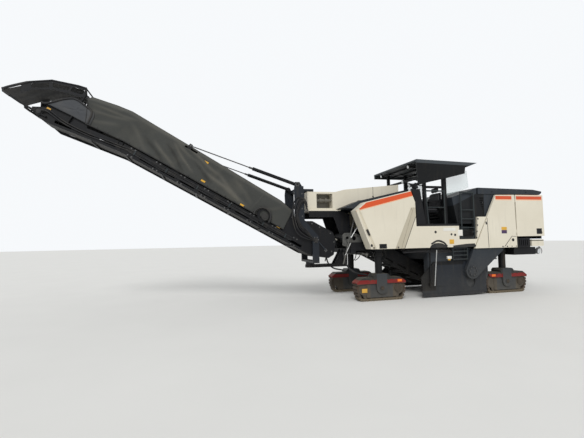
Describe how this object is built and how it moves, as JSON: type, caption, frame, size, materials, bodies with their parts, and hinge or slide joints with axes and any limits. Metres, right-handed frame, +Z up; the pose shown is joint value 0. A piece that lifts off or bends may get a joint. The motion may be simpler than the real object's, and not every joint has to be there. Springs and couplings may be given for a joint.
{
  "type": "cold planer milling machine",
  "caption": "Tracked cold planer with a milling drum under the body, an operator platform with canopy and a covered front discharge conveyor that slews and luffs.",
  "frame": {"origin": "middle of the machine's overall box, on the ground plane", "axes": "+X forward, the way the discharge conveyor points; +Y to the machine's left; +Z up"},
  "size_m": [14.2389, 2.518, 5.4243],
  "materials": {
    "cream_paint": "satin paint, dusty",
    "anthracite_paint": "satin paint",
    "black_paint": "matt paint",
    "grey_paint": "matt paint, dusty",
    "track_steel": "dusty worn steel and polyurethane pads",
    "drum_steel": "worn and rusty",
    "rubber": "matt",
    "seat_leather": "matt",
    "clear_glass": "clear",
    "bright_steel": "ground rods",
    "tarpaulin": "matt woven"
  },
  "bodies": {
    "chassis": {"main_frame": "black_paint", "nose_brackets": "grey_paint", "leg_guides": "black_paint", "drum_housing": "anthracite_paint", "belt_case": "anthracite_paint", "primary_conveyor": "black_paint", "feed_skirt": "rubber", "suction_duct": "cream_paint", "front_panels": "cream_paint", "hood_cover": "black_paint", "platform": "black_paint", "ladders": "black_paint", "side_panels": "cream_paint", "rear_panels": "cream_paint", "rear_grille": "black_paint", "engine_hood": "anthracite_paint", "engine": "black_paint", "guard_rails": "black_paint", "seats": "seat_leather", "consoles": "black_paint", "canopy_posts": "black_paint", "canopy_roof": "black_paint", "canopy_glass": "clear_glass", "rear_bumper": "cream_paint", "battery_box": "black_paint"},
    "hood_lid": {"hood_lid": "anthracite_paint"},
    "rear_door_left": {"rear_door_left": "cream_paint"},
    "rear_door_right": {"rear_door_right": "cream_paint"},
    "milling_drum": {"milling_drum": "drum_steel"},
    "side_plate_left": {"side_plate_left": "anthracite_paint"},
    "side_plate_right": {"side_plate_right": "anthracite_paint"},
    "track_front_left": {"track_frame_fl": "grey_paint", "track_loop_fl": "track_steel"},
    "track_front_right": {"track_frame_fr": "grey_paint", "track_loop_fr": "track_steel"},
    "track_rear_left": {"track_frame_rl": "grey_paint", "track_loop_rl": "track_steel"},
    "track_rear_right": {"track_frame_rr": "grey_paint", "track_loop_rr": "track_steel"},
    "tie_rod_front": {"tie_rod_front": "black_paint"},
    "tie_rod_rear": {"tie_rod_rear": "black_paint"},
    "slewing_mast": {"slew_mast": "anthracite_paint"},
    "luff_barrels": {"luff_barrels": "black_paint"},
    "luff_rods": {"luff_rods": "bright_steel"},
    "conveyor": {"conveyor_frame": "black_paint", "conveyor_belt": "rubber", "conveyor_cover": "tarpaulin", "head_guard": "black_paint"}
  },
  "joints": [
    {"name": "conveyor_slew", "type": "hinge", "parent": "chassis", "child": "slewing_mast", "pos_m": [-0.15, 0, 1], "axis": [0, 0, 1], "range_deg": [-60, 60]},
    {"name": "conveyor_luff", "type": "hinge", "parent": "slewing_mast", "child": "conveyor", "pos_m": [-0.15, 0, 1.62], "axis": [0, -1, 0], "range_deg": [-27, 2]},
    {"name": "luff_barrel_pivot", "type": "hinge", "parent": "slewing_mast", "child": "luff_barrels", "pos_m": [0.33, 0, 3.1], "axis": [0, -1, 0], "range_deg": [-32.1, 2.8]},
    {"name": "luff_rod_slide", "type": "slide", "parent": "luff_barrels", "child": "luff_rods", "axis": [0.9463, 0, 0.3234], "range_m": [-0.055, 0.684]},
    {"name": "steer_front_left", "type": "hinge", "parent": "chassis", "child": "track_front_left", "pos_m": [-1.77, 0.917, 0], "axis": [0, 0, 1], "range_deg": [-25, 25]},
    {"name": "steer_front_right", "type": "hinge", "parent": "chassis", "child": "track_front_right", "pos_m": [-1.77, -0.917, 0], "axis": [0, 0, 1], "range_deg": [-25, 25]},
    {"name": "tie_rod_front_pin", "type": "hinge", "parent": "track_front_left", "child": "tie_rod_front", "pos_m": [-1.44, 0.917, 0], "axis": [0, 0, 1], "range_deg": [-25, 25]},
    {"name": "steer_rear_left", "type": "hinge", "parent": "chassis", "child": "track_rear_left", "pos_m": [-5.746, 0.917, 0], "axis": [0, 0, 1], "range_deg": [-25, 25]},
    {"name": "steer_rear_right", "type": "hinge", "parent": "chassis", "child": "track_rear_right", "pos_m": [-5.746, -0.917, 0], "axis": [0, 0, 1], "range_deg": [-25, 25]},
    {"name": "tie_rod_rear_pin", "type": "hinge", "parent": "track_rear_left", "child": "tie_rod_rear", "pos_m": [-5.416, 0.917, 0], "axis": [0, 0, 1], "range_deg": [-25, 25]},
    {"name": "drum_spin", "type": "hinge", "parent": "chassis", "child": "milling_drum", "pos_m": [-4.49, 0, 0.67], "axis": [0, 1, 0], "continuous": true},
    {"name": "side_plate_left_lift", "type": "slide", "parent": "chassis", "child": "side_plate_left", "axis": [0, 0, 1], "range_m": [0, 0.3]},
    {"name": "side_plate_right_lift", "type": "slide", "parent": "chassis", "child": "side_plate_right", "axis": [0, 0, 1], "range_m": [0, 0.3]},
    {"name": "hood_lid_open", "type": "hinge", "parent": "chassis", "child": "hood_lid", "pos_m": [-4.775, 0, 2.99], "axis": [0, 1, 0], "range_deg": [0, 50]},
    {"name": "rear_door_left_open", "type": "hinge", "parent": "chassis", "child": "rear_door_left", "pos_m": [-5.994, 1.246, 0], "axis": [0, 0, -1], "range_deg": [0, 100]},
    {"name": "rear_door_right_open", "type": "hinge", "parent": "chassis", "child": "rear_door_right", "pos_m": [-5.994, -1.246, 0], "axis": [0, 0, 1], "range_deg": [0, 100]}
  ],
  "couplings": [
    {"joint": "luff_barrel_pivot", "follows": "conveyor_luff", "ratio": 1.172},
    {"joint": "luff_rod_slide", "follows": "conveyor_luff", "m_per_rad": -1.4402},
    {"joint": "steer_front_right", "follows": "steer_front_left", "ratio": 1},
    {"joint": "tie_rod_front_pin", "follows": "steer_front_left", "ratio": -1},
    {"joint": "steer_rear_right", "follows": "steer_rear_left", "ratio": 1},
    {"joint": "tie_rod_rear_pin", "follows": "steer_rear_left", "ratio": -1}
  ]
}
